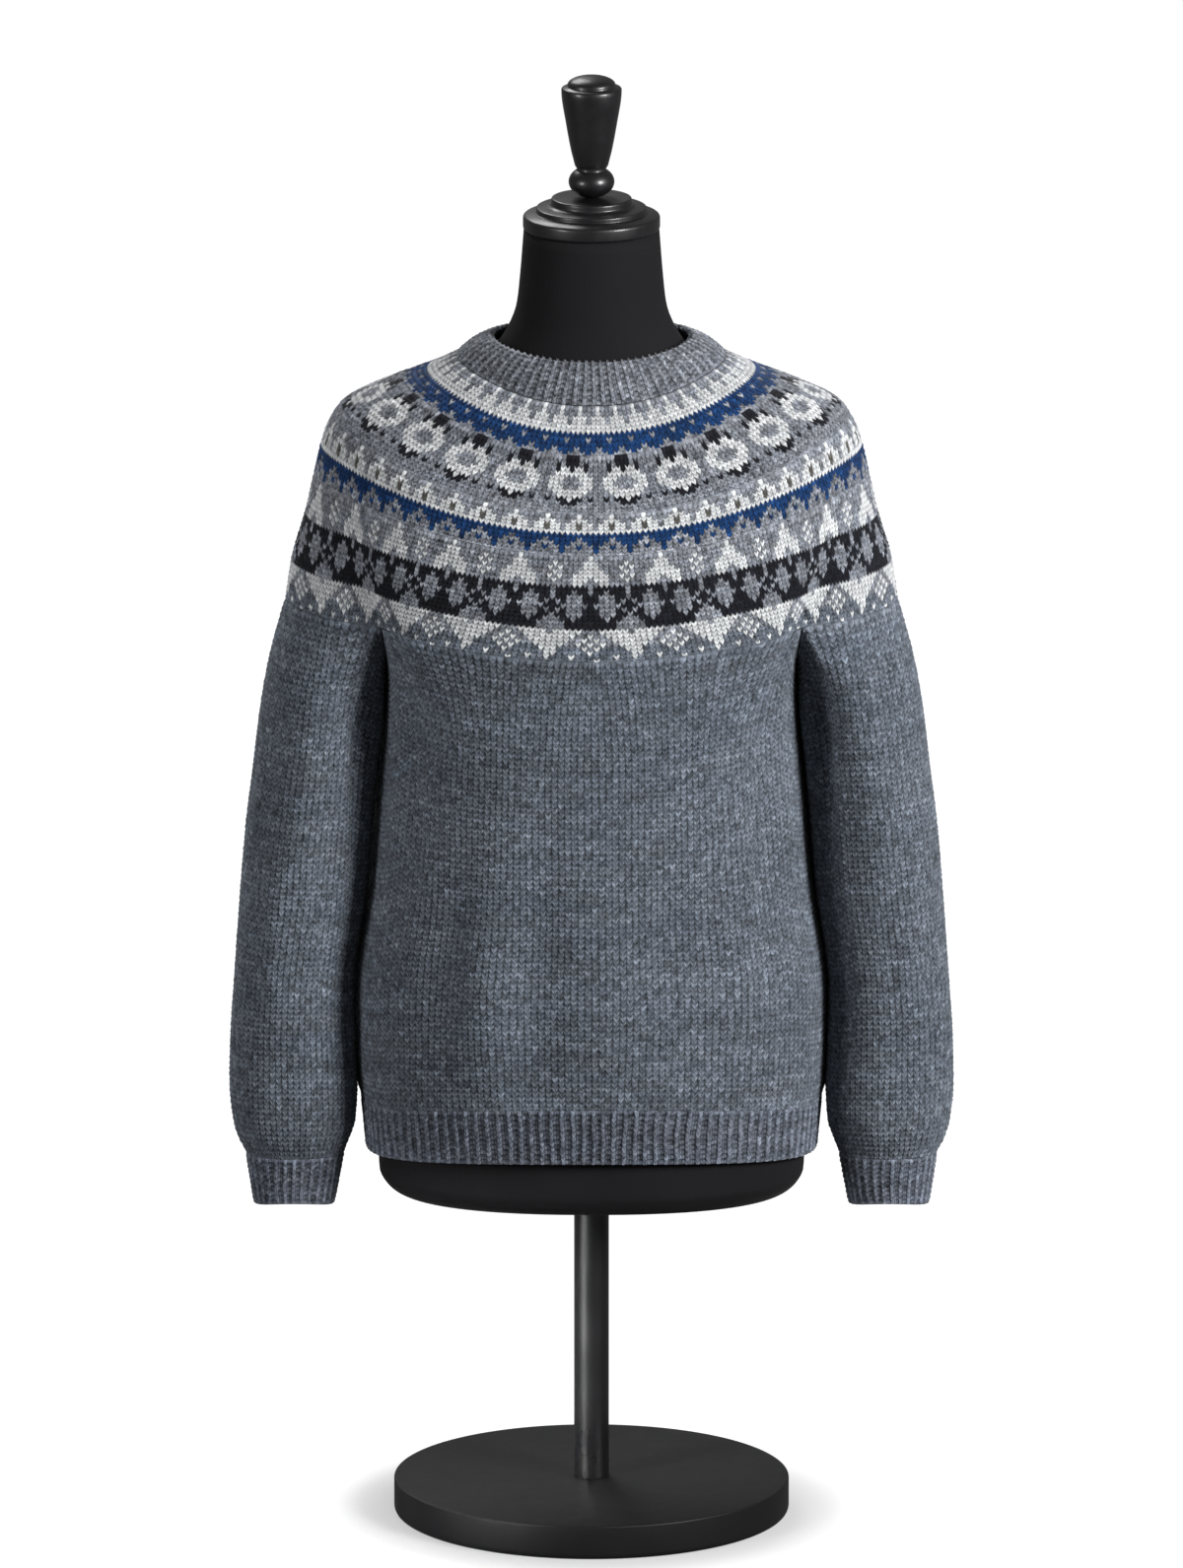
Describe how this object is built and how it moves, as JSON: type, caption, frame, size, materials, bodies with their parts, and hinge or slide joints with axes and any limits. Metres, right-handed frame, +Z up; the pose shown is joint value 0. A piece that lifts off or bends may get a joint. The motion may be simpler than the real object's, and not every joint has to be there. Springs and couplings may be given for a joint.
{
  "type": "nordic yoke sweater on a dress form",
  "caption": "Round-yoke knitted sweater worn open-sleeved on a limbless dress form with turned cap, pole and round base.",
  "frame": {"origin": "centre of the underside of the round base", "axes": "+Z up the pole to the finial, -Y the way the sweater's front faces, +X to the right of the front view, where the wearer's left sleeve hangs"},
  "size_m": [0.6088, 0.334, 1.244],
  "materials": {
    "knit_grey": "hand-knitted wool in heathered blue-grey, plain and ribbed",
    "knit_yoke": "hand-knitted stranded wool in light grey, white, blue and charcoal",
    "form_cloth": "black stretch jersey over a smooth form",
    "black_wood": "turned wood with black satin lacquer",
    "black_metal": "black powder coat"
  },
  "bodies": {
    "root": {"neckband": "knit_grey", "yoke": "knit_yoke", "body": "knit_grey", "hem_rib": "knit_grey", "sleeve_left": "knit_grey", "sleeve_right": "knit_grey", "cuff_left": "knit_grey", "cuff_right": "knit_grey", "torso_form": "form_cloth", "neck_cap": "black_wood", "finial": "black_wood", "pole": "black_metal", "base_plate": "black_metal"}
  },
  "joints": []
}
